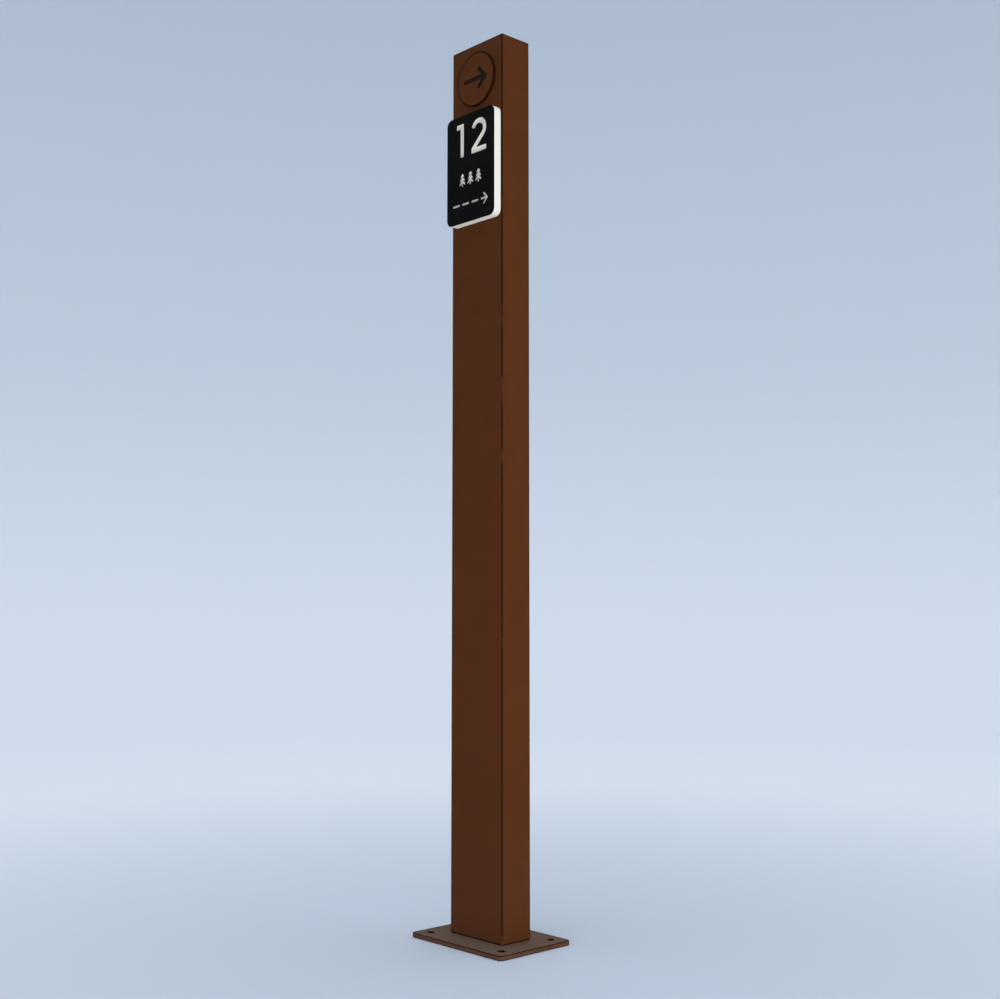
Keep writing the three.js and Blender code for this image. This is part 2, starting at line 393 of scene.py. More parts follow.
def hook_cutter(centre, radius, start, touch, tail, width, cut):
    """A stroke that bends clockwise round a centre from one angle to another, and then runs
    straight on by its tail."""
    face, floor, corner = cut
    middle = (face - OVERRUN + floor) / 2
    stroke = add("stroke", bpy.ops.mesh.primitive_plane_add, size=1)
    stroke.scale = (width, floor - face + OVERRUN, 1)
    stroke.rotation_euler = (0, -start, 0)
    mouth = Vector((centre[0] + radius * cos(start), middle, centre[1] + radius * sin(start)))
    stroke.location = mouth
    settle(stroke)
    pivot = (centre[0], middle, centre[1])
    with picked(stroke, "faces", lambda end: True):
        bpy.ops.mesh.spin(steps=24, angle=start - touch, center=pivot, axis=(0, -1, 0))
        bpy.ops.mesh.extrude_region_move(TRANSFORM_OT_translate={"value": (tail[0], 0, tail[1])})
        bpy.ops.mesh.select_all(action="SELECT")
        bpy.ops.mesh.normals_make_consistent(inside=False)
    at_mouth = beside(Y, mouth, width / 2 + NEAR)
    soften(stroke, all_of(runs_along(Y), at_mouth), corner, segments=4)
    return stroke


def number_strokes(sizes, middle, cut):
    """The plain number 12, in even strokes with a round-backed 2."""
    width = sizes.number_stroke
    top, bottom = middle + sizes.number_height / 2, middle - sizes.number_height / 2
    left = sizes.number_shift - (sizes.one_width + sizes.digit_gap + sizes.two_width) / 2
    high, low = top - width / 2, bottom + width / 2
    stem = left + sizes.one_width - width / 2
    yield bar_cutter((stem, low), (stem, high), width, cut)
    yield bar_cutter((left + width / 2, high), (stem, high), width, cut)

    left += sizes.one_width + sizes.digit_gap
    right = left + sizes.two_width
    radius = (sizes.two_width - width) / 2
    centre = (left + radius + width / 2, high - radius)
    # The slope's left side leaves the bend's inner side and meets the foot's upper left corner.
    inner = radius - width / 2
    reach = (left - centre[0], bottom + width - centre[1])
    touch = atan2(reach[1], reach[0]) + acos(inner / hypot(*reach))
    tail = (reach[0] - inner * cos(touch), reach[1] - inner * sin(touch))
    # The bend begins just above its leftmost point.
    mouth = radians(165)
    yield hook_cutter(centre, radius, mouth, touch, tail, width, cut)
    yield bar_cutter((left + width / 2, low), (right - width / 2, low), width, cut)


def tree_strokes(sizes, x, middle, cut):
    """A conifer: a trunk under three pairs of boughs that widen downwards."""
    width = sizes.symbol_stroke
    top = middle + (sizes.tree_height - width) / 2
    bottom = middle - (sizes.tree_height - width) / 2
    yield bar_cutter((x, bottom), (x, top), width, cut)
    tiers, bare_trunk = 3, 0.6
    spacing = (top - bottom) / (tiers + bare_trunk)
    for tier in range(tiers):
        reach = (tier + 2) / (tiers + 1) * (sizes.tree_width - width) / 2
        spring = top - tier * spacing
        for side in (-1, 1):
            tip = (x + side * reach, spring - reach)
            yield bar_cutter((x, spring), tip, width, cut)


def path_strokes(sizes, middle, cut):
    """A dashed footpath that ends in an arrowhead pointing right."""
    width = sizes.symbol_stroke
    left, right = (width - sizes.path_width) / 2, (sizes.path_width - width) / 2
    dashes, dash_share = 4, 0.6
    pitch = (right - left) / (dashes - 1 + dash_share)
    for dash in range(dashes):
        start = left + dash * pitch
        yield bar_cutter((start, middle), (start + dash_share * pitch, middle), width, cut)
    head = (sizes.path_head - width) / 2
    for side in (-1, 1):
        yield bar_cutter((right, middle), (right - head, middle + side * head), width, cut)


def arrow_strokes(sizes, centre, cut):
    """The medallion's plain arrow pointing right."""
    width = sizes.disc_stroke
    half = (sizes.disc_arrow - width) / 2
    tip = (centre.x + half, centre.z)
    yield bar_cutter((centre.x - half, centre.z), tip, width, cut)
    barb = sizes.disc_barb
    for side in (-1, 1):
        yield bar_cutter(tip, (tip[0] - barb, centre.z + side * barb), width, cut)


# Materials

POST_COAT = "powder-coated aluminium, post"
PLATE_COAT = "powder-coated aluminium, plate"
# Also painted shade: on the anchor holes' walls and the medallion's back edge.
EDGE_COAT_AND_SHADE = "powder-coated aluminium, edges"
BLACK_HDPE = "black HDPE skin"
WHITE_HDPE = "white HDPE body"
PAINT_FILL = "dark paint fill"
STAINLESS = "tumbled stainless steel"
ALUMINIUM = "drawn aluminium"
BRASS = "turned brass"
PAPER = "studio paper"

# Sockets by number: of a Map Range node, and of a Mix node for colours.
VALUE, LOW, HIGH, TO_LOW, TO_HIGH = range(5)
SHARE, FIRST, SECOND = 0, 6, 7


def feed(tree, node, inputs):
    """Gives each input of a node, by name or number, a value, a socket or another node's output."""
    for name, value in inputs.items():
        if isinstance(value, bpy.types.Node):
            value = next(output for output in value.outputs if output.enabled)
        if isinstance(value, bpy.types.NodeSocket):
            tree.links.new(value, node.inputs[name])
        else:
            node.inputs[name].default_value = value


def add_node(tree, kind, inputs, **settings):
    """Adds a node with its settings, and feeds its inputs."""
    made = tree.nodes.new("ShaderNode" + kind)
    for name, value in settings.items():
        setattr(made, name, value)
    feed(tree, made, inputs)
    return made


def new_material(name, values):
    """A new material: its node tree, its shader with some values set, and the point in metres."""
    material = bpy.data.materials.new(name)
    material.use_nodes = True
    tree = material.node_tree
    shader = tree.nodes["Principled BSDF"]
    feed(tree, shader, values)
    return tree, shader, add_node(tree, "TexCoord", {}).outputs["Object"]


def powder_coat(name, first, second, patches, bands=()):
    """Polyester powder, sprayed on aluminium and baked: an even satin brown with a faint orange
    peel and a second colour in patches. A band is a tint (real dust, painted shade, painted
    sheen), the heights where it is clear and where it covers, and its least and greatest strength."""
    tree, shader, place = new_material(name, {"IOR": 1.5, "Specular IOR Level": 0.03})
    # Orange peel is about 1.5 mm from crest to crest, drawn at 2.5 mm so that it shows. The
    # powder lies thicker and thinner over 35 mm, and its gloss drifts over 160 mm.
    peel_size, mottle_size, drift_size = 0.0025, 0.035, 0.16
    peel_height = 0.00005
    peel = add_node(tree, "TexNoise", {"Vector": place, "Scale": 1 / peel_size})
    mottle = add_node(tree, "TexNoise", {"Vector": place, "Scale": 1 / mottle_size, "Detail": 4.0})
    drift = add_node(tree, "TexNoise", {"Vector": place, "Scale": 1 / drift_size, "Detail": 3.0})
    patchy = add_node(tree, "MapRange", {VALUE: mottle, LOW: patches[0], HIGH: patches[1]})
    tint = add_node(tree, "Mix", {SHARE: patchy, FIRST: first, SECOND: second}, data_type="RGBA")
    satin = {VALUE: drift, LOW: 0.3, HIGH: 0.7, TO_LOW: 0.42, TO_HIGH: 0.52}
    gloss = add_node(tree, "MapRange", satin)
    height = add_node(tree, "SeparateXYZ", {"Vector": place}).outputs["Z"]
    # Every band takes the gloss off where it lies, dust and painted shade alike.
    dulling = 0.9
    for band_colour, clear, covered, least, most in bands:
        reach = add_node(tree, "MapRange", {VALUE: height, LOW: clear, HIGH: covered})
        uneven = {VALUE: drift, LOW: 0.3, HIGH: 0.75, TO_LOW: least, TO_HIGH: most}
        strength = add_node(tree, "MapRange", uneven)
        share = add_node(tree, "Math", {0: reach, 1: strength}, operation="MULTIPLY")
        tint = add_node(tree, "Mix", {SHARE: share, FIRST: tint, SECOND: band_colour}, data_type="RGBA")
        gloss = add_node(tree, "Math", {0: share, 1: dulling, 2: gloss}, operation="MULTIPLY_ADD")
    skin = add_node(tree, "Bump", {"Height": peel, "Distance": peel_height})
    feed(tree, shader, {"Base Color": tint, "Roughness": gloss, "Normal": skin})


def black_hdpe(name, colours):
    """The thin black skin of two-colour HDPE sheet, rolled matte with a fine grain."""
    values = {"Base Color": colours.black_skin, "IOR": 1.54, "Specular IOR Level": 0.04}
    tree, shader, place = new_material(name, values)
    # The grain is about 0.7 mm, drawn at 1.6 mm so that it shows. Hands polish it in patches.
    grain_size, grain_height, patch_size = 0.0016, 0.00006, 0.04
    grain = add_node(tree, "TexNoise", {"Vector": place, "Scale": 1 / grain_size, "Detail": 3.0})
    handled = add_node(tree, "TexNoise", {"Vector": place, "Scale": 1 / patch_size, "Detail": 3.0})
    matte = {VALUE: handled, LOW: 0.3, HIGH: 0.7, TO_LOW: 0.56, TO_HIGH: 0.7}
    gloss = add_node(tree, "MapRange", matte)
    skin = add_node(tree, "Bump", {"Height": grain, "Distance": grain_height})
    feed(tree, shader, {"Roughness": gloss, "Normal": skin})


def white_hdpe(name, colours):
    """The sheet's white body, waxy where it was sawn round its edge and routed for engraving."""
    tree, shader, place = new_material(name, {"IOR": 1.54, "Specular IOR Level": 0.3})
    # The cutter leaves lines 0.8 mm apart that run 20 mm and more round the sheet.
    run, pitch, line_depth = 0.02, 0.0008, 0.00003
    stretch = (1 / run, 1 / pitch, 1 / run)
    round_sheet = add_node(tree, "Mapping", {"Vector": place, "Scale": stretch})
    lines = add_node(tree, "TexNoise", {"Vector": round_sheet, "Scale": 1.0})
    # Grey of handling gathers in patches of 20 mm.
    patch_size = 0.02
    handled = add_node(tree, "TexNoise", {"Vector": place, "Scale": 1 / patch_size, "Detail": 3.0})
    faint = {VALUE: handled, LOW: 0.35, HIGH: 0.75, TO_LOW: 0.0, TO_HIGH: 0.06}
    grey = add_node(tree, "MapRange", faint)
    soiled = {SHARE: grey, FIRST: colours.white_core, SECOND: colours.dust}
    tint = add_node(tree, "Mix", soiled, data_type="RGBA")
    waxy = {VALUE: lines, LOW: 0.3, HIGH: 0.7, TO_LOW: 0.42, TO_HIGH: 0.56}
    gloss = add_node(tree, "MapRange", waxy)
    skin = add_node(tree, "Bump", {"Height": lines, "Distance": line_depth})
    feed(tree, shader, {"Base Color": tint, "Roughness": gloss, "Normal": skin})


def paint_fill(name, colours):
    """Dark enamel run into the medallion's engraving, pooled a little uneven over 3 mm."""
    values = {"Base Color": colours.paint_fill, "IOR": 1.5, "Specular IOR Level": 0.06}
    tree, shader, place = new_material(name, values)
    pool_size, pool_depth = 0.003, 0.00005
    pooled = add_node(tree, "TexNoise", {"Vector": place, "Scale": 1 / pool_size})
    satin = {VALUE: pooled, LOW: 0.3, HIGH: 0.7, TO_LOW: 0.4, TO_HIGH: 0.6}
    gloss = add_node(tree, "MapRange", satin)
    skin = add_node(tree, "Bump", {"Height": pooled, "Distance": pool_depth})
    feed(tree, shader, {"Roughness": gloss, "Normal": skin})


def bare_metal(name, base, waves, roughness):
    """Bare metal with the lines of its tool, which are waves (x, y, z) metres apart."""
    tree, shader, place = new_material(name, {"Metallic": 1.0, "Base Color": base})
    line_depth = 0.00001
    spread = add_node(tree, "Mapping", {"Vector": place, "Scale": [1 / wave for wave in waves]})
    lines = add_node(tree, "TexNoise", {"Vector": spread, "Scale": 1.0})
    worked = {VALUE: lines, LOW: 0.25, HIGH: 0.75, TO_LOW: roughness[0], TO_HIGH: roughness[1]}
    gloss = add_node(tree, "MapRange", worked)
    skin = add_node(tree, "Bump", {"Height": lines, "Distance": line_depth})
    feed(tree, shader, {"Roughness": gloss, "Normal": skin})


def studio_paper(name, colours):
    """Seamless background paper, dull and pale. It is painted darker round the post, the same
    on every side, as a soft painted shadow, and it was sprayed a little darker up the wall."""
    tree, shader, place = new_material(name, {"Roughness": 0.9, "Specular IOR Level": 0.1})
    # Painted shadow: the floor darkens towards the post, the same on every side.
    shaded, unshaded = 0.1, 1.85  # distances from the post
    sprayed, dark = 0.4, 3.4  # heights
    level = (1, 1, 0)  # takes the height out of a place
    on_floor = add_node(tree, "VectorMath", {0: place, 1: level}, operation="MULTIPLY")
    away = add_node(tree, "VectorMath", {0: on_floor}, operation="LENGTH")
    reach = {VALUE: away, LOW: shaded, HIGH: unshaded}
    out = add_node(tree, "MapRange", reach, interpolation_type="SMOOTHSTEP")
    floor = {SHARE: out, FIRST: colours.paper_near, SECOND: colours.paper}
    paper = add_node(tree, "Mix", floor, data_type="RGBA")
    height = add_node(tree, "SeparateXYZ", {"Vector": place}).outputs["Z"]
    up = add_node(tree, "MapRange", {VALUE: height, LOW: sprayed, HIGH: dark})
    wall = {SHARE: up, FIRST: paper, SECOND: colours.paper_high}
    paper = add_node(tree, "Mix", wall, data_type="RGBA")
    feed(tree, shader, {"Base Color": paper})


class PARKSIGN_OT_finishes(bpy.types.Operator):
    """Make every finish from its colours"""

    bl_idname = "park_sign.finishes"
    bl_label = "Finishes"

    def execute(self, context):
        sizes, colours = context.scene.park_sign_sizes, context.scene.park_sign_colours
        brown, shade, mottled = colours.coat, colours.coat_dark, (0.35, 0.65)
        ground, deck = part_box("base_plate")[0].z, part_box("base_plate")[1].z
        # Rain splashes dust up the post. The dark band at its foot is painted shade
        # where post and plate meet.
        splashed = (colours.dust, sizes.splash, ground, 0.0, 0.05)
        line_top = deck + sizes.foot_shade
        foot_shade = (colours.coat_edge_and_shade, line_top + sizes.foot_shade, line_top, 0.8, 1.0)
        powder_coat(POST_COAT, brown, shade, mottled, (splashed, foot_shade))
        # The plate's sides are dustier. Its top is greyed by settled dust and also by a painted
        # sheen of reflected sky.
        thrown = (colours.dust, sizes.splash, ground, 0.06, 0.16)
        top_dust_and_sheen = (colours.dust, deck - sizes.plate_edge, deck - NEAR, 0.15, 0.25)
        powder_coat(PLATE_COAT, brown, shade, mottled, (thrown, top_dust_and_sheen))
        # The spray draws powder to an edge, where it bakes thicker and darker, until hands and
        # grit rub it through in a few places. The same dark coat is also painted shade inside the
        # anchor holes and a painted shadow line behind the medallion's edge.
        rubbed = (0.6, 0.8)
        powder_coat(EDGE_COAT_AND_SHADE, colours.coat_edge_and_shade, colours.coat_rubbed, rubbed)
        black_hdpe(BLACK_HDPE, colours)
        white_hdpe(WHITE_HDPE, colours)
        paint_fill(PAINT_FILL, colours)
        # Tumbling leaves dents all ways, drawing leaves lines along a sleeve, and turning leaves
        # rings round an insert.
        bare_metal(STAINLESS, colours.stainless, waves=(0.0006, 0.0006, 0.0006), roughness=(0.24, 0.38))
        bare_metal(ALUMINIUM, colours.aluminium, waves=(0.0003, 0.009, 0.0003), roughness=(0.32, 0.46))
        bare_metal(BRASS, colours.brass, waves=(0.008, 0.0004, 0.008), roughness=(0.26, 0.4))
        studio_paper(PAPER, colours)
        return {"FINISHED"}


# Pieces


class PARKSIGN_OT_base(bpy.types.Operator):
    """Model the base plate, and coat the weld under the post"""

    bl_idname = "park_sign.base"
    bl_label = "Base Plate"

    def execute(self, context):
        sizes = context.scene.park_sign_sizes
        low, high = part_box("base_plate")
        plate = block("anchor_plate", low, high)
        coat(plate, PLATE_COAT, EDGE_COAT_AND_SHADE)
        soften(plate, runs_along(Z), sizes.plate_corner, segments=12)
        for level in (low.z, high.z):
            soften(plate, rim_of(Z, level), sizes.plate_edge, finish=EDGE_AND_SHADE_FINISH)
        for side in (-1, 1):
            for end in (-1, 1):
                self.drill_anchor_hole(plate, sizes, side, end)
        slot_low, slot_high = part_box("base_weld")
        below, above = low.z - OVERRUN, high.z + OVERRUN
        slot = block("slot", (*slot_low.xy, below), (*slot_high.xy, above))
        soften(slot, runs_along(Z), sizes.tube_corner, segments=4)
        carve(slot, plate)
        hand_over(plate, "powder_coat", "base_plate")
        coat(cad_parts["base_weld"], PLATE_COAT)
        return {"FINISHED"}

    def drill_anchor_hole(self, plate, sizes, side, end):
        """Drills a hole in one corner and rounds both its mouths."""
        low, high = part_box("base_plate")
        x = side * (high.x - sizes.anchor_inset)
        y = end * (high.y - sizes.anchor_inset)
        below, above = (x, y, low.z - OVERRUN), (x, y, high.z + OVERRUN)
        drill = rod("drill", below, above, sizes.anchor_hole)
        # The walls take the near-black edge coat: painted shade inside the hole.
        coat(drill, EDGE_COAT_AND_SHADE)
        carve(drill, plate)
        round_hole = beside(Z, Vector(below), sizes.anchor_hole + NEAR)
        for level in (low.z, high.z):
            mouth = all_of(lies_on(Z, level), round_hole)
            soften(plate, mouth, sizes.anchor_edge, segments=2, finish=EDGE_AND_SHADE_FINISH)


class PARKSIGN_OT_post(bpy.types.Operator):
    """Model the tube, and the top that is welded on and ground flush"""

    bl_idname = "park_sign.post"
    bl_label = "Post"

    def execute(self, context):
        sizes = context.scene.park_sign_sizes
        low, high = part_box("post_tube")
        tube = block("post_shell", low, high)
        coat(tube, POST_COAT, EDGE_COAT_AND_SHADE)
        with picked(tube, "faces", lambda face: abs(face.normal.z) > SQUARE):
            bpy.ops.mesh.inset(thickness=sizes.tube_wall, use_even_offset=True)
            bpy.ops.mesh.bridge_edge_loops()
        corners = all_of(runs_along(Z), outermost(high))
        band(tube, corners, sizes.edge_band)
        soften(tube, corners, sizes.tube_corner, segments=4, finish=EDGE_AND_SHADE_FINISH)
        for node in screw_nodes():
            self.drill_walls(tube, sizes, node)
        hand_over(tube, "powder_coat", "post_tube")

        low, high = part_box("cap_weld")
        top = block("post_top", low, high)
        coat(top, POST_COAT, EDGE_COAT_AND_SHADE)
        corners, rim = all_of(runs_along(Z), outermost(high)), rim_of(Z, high.z)
        band(top, lambda edge: corners(edge) or rim(edge), sizes.edge_band)
        soften(top, corners, sizes.tube_corner, segments=4, finish=EDGE_AND_SHADE_FINISH)
        soften(top, rim, sizes.cap_edge, segments=4, finish=EDGE_AND_SHADE_FINISH)
        hand_over(top, "powder_coat", "cap_plate", "cap_weld")
        return {"FINISHED"}

    def drill_walls(self, tube, sizes, node):
        """Drills the rear wall for a screw, and the front wall for it or for its boss."""
        x, z = middle_of(node).xz
        front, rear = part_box("post_tube")[0].y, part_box("post_tube")[1].y
        front_radius = sizes.washer_hole
        if node.startswith("medallion"):
            front_radius += radius_of(node.replace("screw", "boss")) - sizes.screw_shank
        reach = sizes.tube_wall + OVERRUN
        for start, end, radius in (
            (front - OVERRUN, front + reach, front_radius),
            (rear - reach, rear + OVERRUN, sizes.washer_hole),
        ):
            carve(rod("drill", (x, start, z), (x, end, z), radius), tube)


class PARKSIGN_OT_sign(bpy.types.Operator):
    """Model the sign's white body and black skin, and engrave through both"""

    bl_idname = "park_sign.sign"
    bl_label = "Sign"

    def execute(self, context):
        sizes = context.scene.park_sign_sizes
        skin_low, skin_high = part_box("sign_face")
        core_low, core_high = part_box("sign_core")
        skin = block("black_skin", skin_low, skin_high)
        core = block("white_core", core_low, core_high)
        coat(skin, BLACK_HDPE)
        coat(core, WHITE_HDPE)
        for sheet, edge in ((skin, skin_low.y), (core, core_high.y)):
            soften(sheet, runs_along(Y), sizes.sign_corner, segments=16)
            soften(sheet, rim_of(Y, edge), sizes.sign_edge, segments=2)
        for stroke in self.engraving(sizes, skin_low.y, (skin_low.z + skin_high.z) / 2):
            carve(stroke, skin, core)
        for node in screw_nodes("sign"):
            insert = node.replace("screw", "insert")
            low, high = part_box(insert)
            x, z = middle_of(insert).xz
            start, end = (x, low.y, z), (x, high.y + OVERRUN, z)
            carve(rod("drill", start, end, radius_of(insert)), core)
        hand_over(skin, "black_sheet", "sign_face")
        hand_over(core, "white_sheet", "sign_core")
        return {"FINISHED"}

    def engraving(self, sizes, face, middle):
        """The number, the row of conifers and the footpath, stroke by stroke."""
        floor = face + sizes.engraving_depth
        yield from number_strokes(sizes, middle + sizes.number_rise, (face, floor, sizes.router_radius))
        one_pass = (face, floor, ROUND_END_SHARE * sizes.symbol_stroke)
        for place in (-1, 0, 1):
            x, z = place * sizes.tree_pitch, middle - sizes.tree_drop
            yield from tree_strokes(sizes, x, z, one_pass)
        yield from path_strokes(sizes, middle - sizes.path_drop, one_pass)


class PARKSIGN_OT_medallion(bpy.types.Operator):
    """Model the medallion with its paint-filled arrow"""

    bl_idname = "park_sign.medallion"
    bl_label = "Medallion"

    def execute(self, context):
        sizes = context.scene.park_sign_sizes
        low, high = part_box("medallion_disc")
        centre = middle_of("medallion_disc")
        back, front = (centre.x, high.y, centre.z), (centre.x, low.y, centre.z)
        disc = rod("medallion", back, front, radius_of("medallion_disc"), sides=128)
        coat(disc, POST_COAT, EDGE_COAT_AND_SHADE)
        band(disc, rim_of(Y, low.y), sizes.disc_rim)
        soften(disc, rim_of(Y, low.y), sizes.disc_edge, finish=EDGE_AND_SHADE_FINISH)
        # The back edge's dark finish is a painted shadow line where the medallion meets the post.
        soften(disc, rim_of(Y, high.y), sizes.disc_back_edge, segments=2, finish=EDGE_AND_SHADE_FINISH)
        cut = (low.y, low.y + sizes.disc_depth, ROUND_END_SHARE * sizes.disc_stroke)
        for stroke in arrow_strokes(sizes, centre, cut):
            coat(stroke, PAINT_FILL)
            carve(stroke, disc)
        hand_over(disc, "powder_coat", "medallion_disc")
        return {"FINISHED"}


class PARKSIGN_OT_fastenings(bpy.types.Operator):
    """Model the button-head screws and their washers"""

    bl_idname = "park_sign.fastenings"
    bl_label = "Fastenings"

    def execute(self, context):
        sizes = context.scene.park_sign_sizes
        for prefix in ("medallion", "sign"):
            nodes = screw_nodes(prefix)
            first, first_washer = nodes[0], nodes[0].replace("screw", "washer")
            low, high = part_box(first)
            washer_low, washer_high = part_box(first_washer)
            seat = washer_high.y
            screw = self.screw(sizes, radius_of(first), high.y - seat, seat - low.y)
            washer = self.washer(sizes, radius_of(first_washer), seat - washer_low.y)
            for pattern, kind in ((screw, "screw"), (washer, "washer")):
                for node in nodes:
                    x, z = middle_of(node).xz
                    replaced = node.replace("screw", kind)
                    twin = copy_to(pattern, "steel_" + replaced, Vector((x, seat, z)))
                    hand_over(twin, "stainless_steel", replaced)
                bpy.data.objects.remove(pattern)
        return {"FINISHED"}

    def screw(self, sizes, head_radius, head_height, shank):
        """A screw seated on the origin, its domed head towards +Y and its thread towards -Y."""
        screw = rod("screw", (0, 0, 0), (0, 0, head_height), head_radius)
        coat(screw, STAINLESS)
        soften(screw, rim_of(Z, head_height), head_height - sizes.screw_rim, segments=6)
        socket_radius = sizes.socket_flats / 2 / cos(pi / 6)
        socket_floor = (0, 0, head_height - sizes.socket_depth)
        carve(rod("key", socket_floor, (0, 0, head_height + OVERRUN), socket_radius, sides=6), screw)
        root = 1 - sizes.thread_depth / sizes.screw_shank
        rings = int(shank / sizes.thread_pitch)
        with picked(screw, "faces", lies_on(Z, 0)):
            bpy.ops.mesh.inset(thickness=head_radius - sizes.screw_shank)
            for _ in range(rings):
                for grow in (root, 1 / root):
                    step = (0, 0, -sizes.thread_pitch / 2)
                    bpy.ops.mesh.extrude_region_move(TRANSFORM_OT_translate={"value": step})
                    bpy.ops.transform.resize(value=(grow, grow, 1))
            tip = (0, 0, rings * sizes.thread_pitch - shank)
            bpy.ops.mesh.extrude_region_move(TRANSFORM_OT_translate={"value": tip})
            bpy.ops.transform.resize(value=(root, root, 1))
        screw.rotation_euler = (-pi / 2, 0, 0)
        settle(screw)
        return screw

    def washer(self, sizes, radius, thickness):
        """A flat washer behind the origin, with its hole through."""
        washer = rod("washer", (0, -thickness, 0), (0, 0, 0), radius)
        coat(washer, STAINLESS)
        with picked(washer, "faces", lambda face: abs(face.normal.y) > SQUARE):
            bpy.ops.mesh.inset(thickness=radius - sizes.washer_hole)
            bpy.ops.mesh.bridge_edge_loops()
        for level in (-thickness, 0):
            soften(washer, rim_of(Y, level), sizes.washer_edge, segments=2)
        return washer


class PARKSIGN_OT_inner_pieces(bpy.types.Operator):
    """Finish the sleeves, bosses and inserts that the post hides"""

    bl_idname = "park_sign.inner_pieces"
    bl_label = "Inner Pieces"

    def execute(self, context):
        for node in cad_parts:
            if "_sleeve_" in node or "_boss_" in node:
                coat(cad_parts[node], ALUMINIUM)
            elif "_insert_" in node:
                coat(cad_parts[node], BRASS)
        return {"FINISHED"}


# Stage


class ParkSignStage(bpy.types.PropertyGroup):
    """The camera, the paper sweep and the lights."""

    azimuth: bpy.props.FloatProperty(
        name="Azimuth",
        description="How far the camera stands round the post, from its front to its right",
        default=radians(47.089),
        subtype="ANGLE",
    )
    elevation: bpy.props.FloatProperty(
        name="Elevation",
        description="How far the camera looks down; it looks up where this is negative",
        default=radians(-4.692),
        subtype="ANGLE",
    )
    lens: bpy.props.FloatProperty(
        name="Lens", description="Focal length on a 36 mm wide frame", default=48.488, unit="CAMERA"
    )
    distance: length("Distance", "From the camera to the post's axis", 1.84326)
    aim_height: length("Aim height", "Height of the point that the camera looks at", 0.590081)
    aim_side: length("Aim side", "How far right of the axis the camera looks", 0.013243)
    floor_radius: length("Floor radius", "Where the paper starts to rise", 3.2)
    sweep_radius: length("Sweep radius", "Radius of the paper's rise", 1.6)
    wall_height: length("Wall height", "Height of the paper above its rise", 2.6)
    key_place: position("Key place", "Of the soft box on the post's right", (2.35, -0.15, 0.8))
    key_width: length("Key width", "Of the same box", 1.8)
    key_power: watts("Key power", "Of the same box", 28)
    rim_place: position("Rim place", "Of the soft box behind on the left", (-1.6, 2.2, 1.6))
    rim_width: length("Rim width", "Of the same box", 1.8)
    rim_power: watts("Rim power", "Of the same box", 6)
    card_place: position("Card place", "Of the low card that lights the foot", (0.85, -0.88, 0.1))
    card_width: length("Card width", "Of the same card", 0.6)
    card_power: watts("Card power", "Of the same card", 8.5)
    bounce_place: position("Bounce place", "Of the card under the sign", (-0.3, -0.6, 0.1))
    bounce_width: length("Bounce width", "Of the same card", 0.3)
    bounce_power: watts("Bounce power", "Of the same card", 4)
    sky: bpy.props.FloatProperty(
        name="Sky", description="Strength of the even light from overhead", default=1.12
    )
    sky_colour: colour("Sky colour", "Colour of the same light", "#fbfbfb")


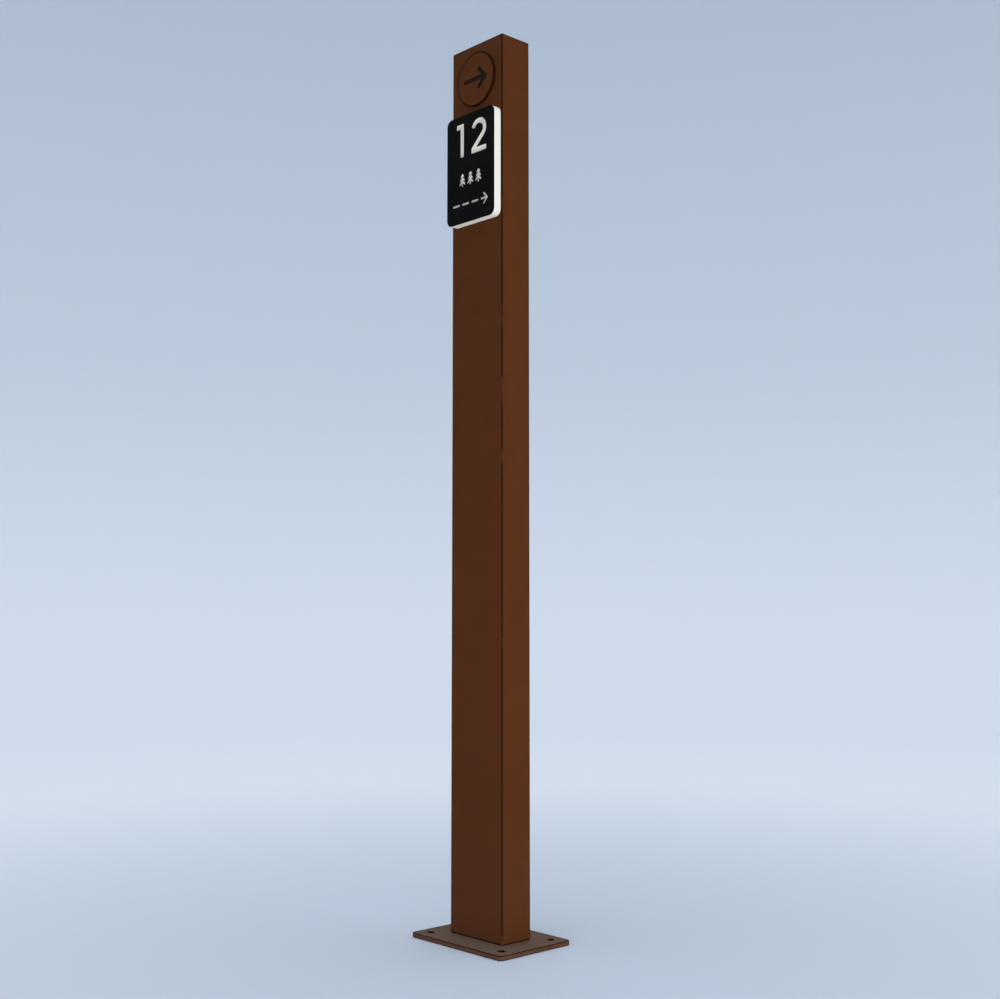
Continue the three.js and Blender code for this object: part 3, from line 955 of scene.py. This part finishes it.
class PARKSIGN_OT_stage(bpy.types.Operator):
    """Set up the pale paper sweep, the soft lights and the camera"""

    bl_idname = "park_sign.stage"
    bl_label = "Stage"

    def execute(self, context):
        stage = context.scene.park_sign_stage
        # The soft boxes are flagged off the paper, so that no pool of light shows on it.
        flagged = bpy.data.collections.new("flagged off")
        flagged.objects.link(self.sweep(stage))
        flagged.collection_objects[0].light_linking.link_state = "EXCLUDE"
        self.soft_box("key light", stage.key_place, stage.key_width, stage.key_power, flagged)
        self.soft_box("rim light", stage.rim_place, stage.rim_width, stage.rim_power, flagged)
        self.soft_box("low card", stage.card_place, stage.card_width, stage.card_power, flagged)
        # The bounce card is flagged off all but the sign's white body.
        sign_body = bpy.data.collections.new("sign body")
        sign_body.objects.link(bpy.data.objects["white_core"])
        self.soft_box(
            "bounce card", stage.bounce_place, stage.bounce_width, stage.bounce_power, sign_body
        )
        world = bpy.data.worlds.new("studio sky")
        world.use_nodes = True
        background = world.node_tree.nodes["Background"]
        background.inputs["Color"].default_value = stage.sky_colour
        background.inputs["Strength"].default_value = stage.sky
        context.scene.world = world
        self.camera(context.scene, stage)
        return {"FINISHED"}

    def sweep(self, stage):
        """A round floor that rises into a wall, so that no edge shows from any side."""
        floor = add(
            "studio_floor",
            bpy.ops.mesh.primitive_circle_add,
            vertices=96,
            radius=stage.floor_radius,
            fill_type="NGON",
        )
        steps = 10
        radius, height = stage.floor_radius, 0
        with picked(floor, "edges", lambda edge: True):
            for step in range(1, steps + 1):
                turn = step / steps * pi / 2
                wider = stage.floor_radius + stage.sweep_radius * sin(turn)
                higher = stage.sweep_radius * (1 - cos(turn))
                rise = (0, 0, higher - height)
                bpy.ops.mesh.extrude_region_move(TRANSFORM_OT_translate={"value": rise})
                bpy.ops.transform.resize(value=(wider / radius, wider / radius, 1))
                radius, height = wider, higher
            wall = (0, 0, stage.wall_height)
            bpy.ops.mesh.extrude_region_move(TRANSFORM_OT_translate={"value": wall})
        bpy.ops.object.shade_smooth_by_angle(angle=CURVE)
        coat(floor, PAPER)
        return floor

    def soft_box(self, name, centre, width, power, receivers):
        """A round soft box that looks at the middle of the post and lights what it is linked to."""
        data = bpy.data.lights.new(name, "AREA")
        data.shape = "DISK"
        data.size = width
        data.energy = power
        lamp = bpy.data.objects.new(name, data)
        lamp.location = centre
        middle = (Vector(cad_box[0]) + Vector(cad_box[1])) / 2
        lamp.rotation_euler = (middle - Vector(centre)).to_track_quat("-Z", "Y").to_euler()
        lamp.visible_camera = False
        lamp.light_linking.receiver_collection = receivers
        bpy.context.scene.collection.objects.link(lamp)

    def camera(self, scene, stage):
        """The photograph's own view, without a shift."""
        azimuth, elevation = stage.azimuth, stage.elevation
        flat = cos(elevation)
        back = Vector((sin(azimuth) * flat, -cos(azimuth) * flat, sin(elevation)))
        right = Vector((cos(azimuth), sin(azimuth), 0))
        data = bpy.data.cameras.new("photograph view")
        data.sensor_width = FILM_WIDTH
        data.lens = stage.lens
        camera = bpy.data.objects.new("photograph view", data)
        aim = stage.aim_side * right + Vector((0, 0, stage.aim_height))
        camera.location = aim + stage.distance * back
        camera.rotation_euler = (pi / 2 - elevation, 0, azimuth)
        scene.collection.objects.link(camera)
        scene.camera = camera
        scene.view_settings.view_transform = "Standard"


class PARKSIGN_PT_panel(bpy.types.Panel):
    """The sidebar's list of pieces, and their sizes and colours"""

    bl_idname = "PARKSIGN_PT_panel"
    bl_label = "Park Sign"
    bl_space_type = "VIEW_3D"
    bl_region_type = "UI"
    bl_category = "Park Sign"

    def draw(self, context):
        for operator in OPERATORS:
            self.layout.operator(operator.bl_idname)
        for name in GROUPS:
            box = self.layout.box()
            group = getattr(context.scene, name)
            for field in group.__annotations__:
                box.prop(group, field)


GROUPS = {
    "park_sign_sizes": ParkSignSizes,
    "park_sign_colours": ParkSignColours,
    "park_sign_stage": ParkSignStage,
}
OPERATORS = (
    PARKSIGN_OT_finishes,
    PARKSIGN_OT_base,
    PARKSIGN_OT_post,
    PARKSIGN_OT_sign,
    PARKSIGN_OT_medallion,
    PARKSIGN_OT_fastenings,
    PARKSIGN_OT_inner_pieces,
    PARKSIGN_OT_stage,
)


def register():
    for shown in (*GROUPS.values(), *OPERATORS, PARKSIGN_PT_panel):
        bpy.utils.register_class(shown)
    for name, group in GROUPS.items():
        setattr(bpy.types.Scene, name, bpy.props.PointerProperty(type=group))


def unregister():
    for name in GROUPS:
        delattr(bpy.types.Scene, name)
    for shown in (PARKSIGN_PT_panel, *reversed(OPERATORS), *reversed(GROUPS.values())):
        bpy.utils.unregister_class(shown)


def main():
    """Makes every piece."""
    register()
    for operator in OPERATORS:
        name = operator.bl_idname.split(".")[1]
        getattr(bpy.ops.park_sign, name)()


if __name__ == "__main__":
    main()
